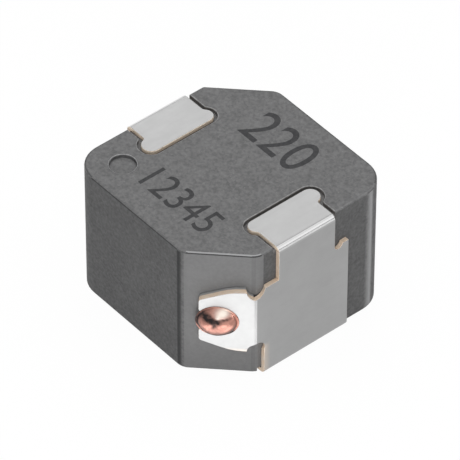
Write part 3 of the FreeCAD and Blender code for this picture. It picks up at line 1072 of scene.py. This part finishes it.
class InductorSetStage(bpy.types.Operator):
    """Set up the camera, the lamps, the white surroundings and the floor"""

    bl_idname = "inductor.set_stage"
    bl_label = "Set Stage"

    # Half of the floor's side in metres, how far it lies under the part in mm, and its paint
    FLOOR_HALF = 0.6
    FLOOR_GAP = 0.01
    FLOOR_PAINT = 0.75

    def execute(self, context):
        settings = context.scene.inductor_stage
        context.scene.view_settings.view_transform = "Standard"
        self.camera(context)
        self.surroundings(context, settings)
        self.floor(settings)
        for lamp in STUDIO_LAMPS:
            self.lamp(*lamp)
        self.card(*CARD)
        return {"FINISHED"}

    @staticmethod
    def direction(azimuth, elevation):
        """The direction from the part to something at an azimuth and elevation in degrees."""
        turn = math.radians(azimuth)
        lift = math.radians(elevation)
        out = Vector((math.sin(turn), -math.cos(turn), 0.0))
        return out * math.cos(lift) + UP * math.sin(lift)

    def camera(self, context):
        """The photograph's viewpoint."""
        back = self.direction(CAMERA_AZIMUTH, CAMERA_ELEVATION)
        right = UP.cross(back).normalized()
        right.rotate(Quaternion(back, math.radians(CAMERA_ROLL)))
        above = back.cross(right)
        data = bpy.data.cameras.new("camera")
        data.sensor_width = CAMERA_SENSOR
        data.lens = CAMERA_LENS
        data.clip_start, data.clip_end = CAMERA_CLIP
        camera = add_object("camera", data)
        place = back * CAMERA_DISTANCE + right * CAMERA_ASIDE
        place += above * CAMERA_ABOVE + UP * CAMERA_BASE
        facing = Matrix((right, above, back)).transposed().to_4x4()
        camera.matrix_world = Matrix.Translation(place * MM) @ facing
        context.scene.camera = camera

    @staticmethod
    def seen_directly(tree):
        """1 for rays of the camera, gloss and clear materials, and 0 for the light on surfaces."""
        path = add_node(tree, "ShaderNodeLightPath").outputs
        either = calculate(tree, "MAXIMUM", path["Is Camera Ray"], path["Is Glossy Ray"])
        return calculate(tree, "MAXIMUM", either, path["Is Transmission Ray"])

    def picked(self, tree, lighting, seen):
        """One shader for the light on surfaces, and another for what is seen directly."""
        pick = add_node(tree, "ShaderNodeMixShader", {0: self.seen_directly(tree)})
        tree.links.new(lighting.outputs[0], pick.inputs[1])
        tree.links.new(seen.outputs[0], pick.inputs[2])
        return pick.outputs[0]

    def surroundings(self, context, settings):
        """White all round to the eye and to gloss, and a softer fill for the matte surfaces."""
        world = bpy.data.worlds.new("surroundings")
        world.use_nodes = True
        tree = world.node_tree
        tree.nodes.clear()
        white = (1.0, 1.0, 1.0, 1.0)
        fill = add_node(tree, "ShaderNodeBackground", {
            "Color": white, "Strength": settings.fill_level})
        seen = add_node(tree, "ShaderNodeBackground", {"Color": white, "Strength": 1.0})
        add_node(tree, "ShaderNodeOutputWorld", {"Surface": self.picked(tree, fill, seen)})
        context.scene.world = world

    def floor(self, settings):
        """A white floor that keeps a faint shadow."""
        surface = bmesh.new()
        bmesh.ops.create_grid(surface, x_segments=8, y_segments=8, size=self.FLOOR_HALF)
        bmesh.ops.translate(surface, verts=surface.verts[:], vec=-UP * self.FLOOR_GAP * MM)
        mesh = bpy.data.meshes.new("floor")
        surface.to_mesh(mesh)
        surface.free()
        material = bpy.data.materials.new("white_floor")
        material.use_nodes = True
        tree = material.node_tree
        tree.nodes.clear()
        rest = 1.0 - settings.floor_glow
        paint = add_node(tree, "ShaderNodeBsdfDiffuse", {"Color": (*[self.FLOOR_PAINT] * 3, 1.0)})
        shaded = add_node(tree, "ShaderNodeBsdfDiffuse", {"Color": (rest, rest, rest, 1.0)})
        glow = add_node(tree, "ShaderNodeEmission", {"Strength": settings.floor_glow})
        seen = add_node(tree, "ShaderNodeAddShader", {0: shaded.outputs[0], 1: glow.outputs[0]})
        add_node(tree, "ShaderNodeOutputMaterial", {"Surface": self.picked(tree, paint, seen)})
        mesh.materials.append(material)
        floor = add_object("floor", mesh)

    def lamp(self, name, azimuth, elevation, distance, size, level):
        """A square soft lamp aimed at the middle of the part."""
        data = bpy.data.lights.new(name, "AREA")
        data.shape = "SQUARE"
        data.size = size * MM
        data.energy = level * math.pi ** 2 * (distance * MM) ** 2
        away = self.direction(azimuth, elevation)
        lamp = add_object(name, data)
        aim = away.to_track_quat("Z", "Y").to_matrix().to_4x4()
        lamp.matrix_world = Matrix.Translation((away * distance + UP * AIM_HEIGHT) * MM) @ aim
        lamp.visible_camera = False
        lamp.visible_glossy = name not in NO_GLOSS_LAMPS

    @staticmethod
    def card(out, aside, length, width, glow):
        """A low glowing card that the wing on the right chamfer mirrors to the camera."""
        data = bpy.data.lights.new("floor_card", "AREA")
        data.shape = "RECTANGLE"
        data.size = length * MM
        data.size_y = width * MM
        data.energy = glow * math.pi * length * width * MM * MM
        card = add_object("floor_card", data)
        place = OUT_OF_WING * out + ALONG_WING * aside + UP * CARD_HEIGHT
        facing_up = Matrix((OUT_OF_WING, ALONG_WING, -UP)).transposed().to_4x4()
        card.matrix_world = Matrix.Translation(place * MM) @ facing_up
        card.visible_camera = False
        card.visible_diffuse = False


class InductorPanel(bpy.types.Panel):
    """Lists the steps that dress the part."""

    bl_idname = "VIEW3D_PT_inductor"
    bl_label = "Shielded Inductor"
    bl_space_type = "VIEW_3D"
    bl_region_type = "UI"
    bl_category = "Inductor"

    def draw(self, context):
        for group_name, group, operator in STEPS:
            box = self.layout.box()
            settings = getattr(context.scene, group_name)
            for key in group.__annotations__:
                box.prop(settings, key)
            box.operator(operator.bl_idname)


STEPS = (
    ("inductor_core", InductorCoreSettings, InductorDressCore),
    ("inductor_terminals", InductorTerminalSettings, InductorDressTerminals),
    ("inductor_welds", InductorWeldSettings, InductorMakeWelds),
    ("inductor_coil", InductorCoilSettings, InductorFinishCoil),
    ("inductor_marks", InductorMarkSettings, InductorPrintNumbers),
    ("inductor_stage", InductorStageSettings, InductorSetStage),
)


def register():
    """Makes the settings, the operators and the panel known to Blender."""
    for group_name, group, operator in STEPS:
        bpy.utils.register_class(group)
        setattr(bpy.types.Scene, group_name, bpy.props.PointerProperty(type=group))
        bpy.utils.register_class(operator)
    bpy.utils.register_class(InductorPanel)


def unregister():
    """Takes them out again."""
    bpy.utils.unregister_class(InductorPanel)
    for group_name, group, operator in reversed(STEPS):
        bpy.utils.unregister_class(operator)
        delattr(bpy.types.Scene, group_name)
        bpy.utils.unregister_class(group)


def main():
    """Runs every step in order."""
    register()
    bpy.ops.inductor.dress_core()
    bpy.ops.inductor.dress_terminals()
    bpy.ops.inductor.make_welds()
    bpy.ops.inductor.finish_coil()
    bpy.ops.inductor.print_numbers()
    bpy.ops.inductor.set_stage()
    bpy.context.view_layer.update()


if __name__ == "__main__":
    main()
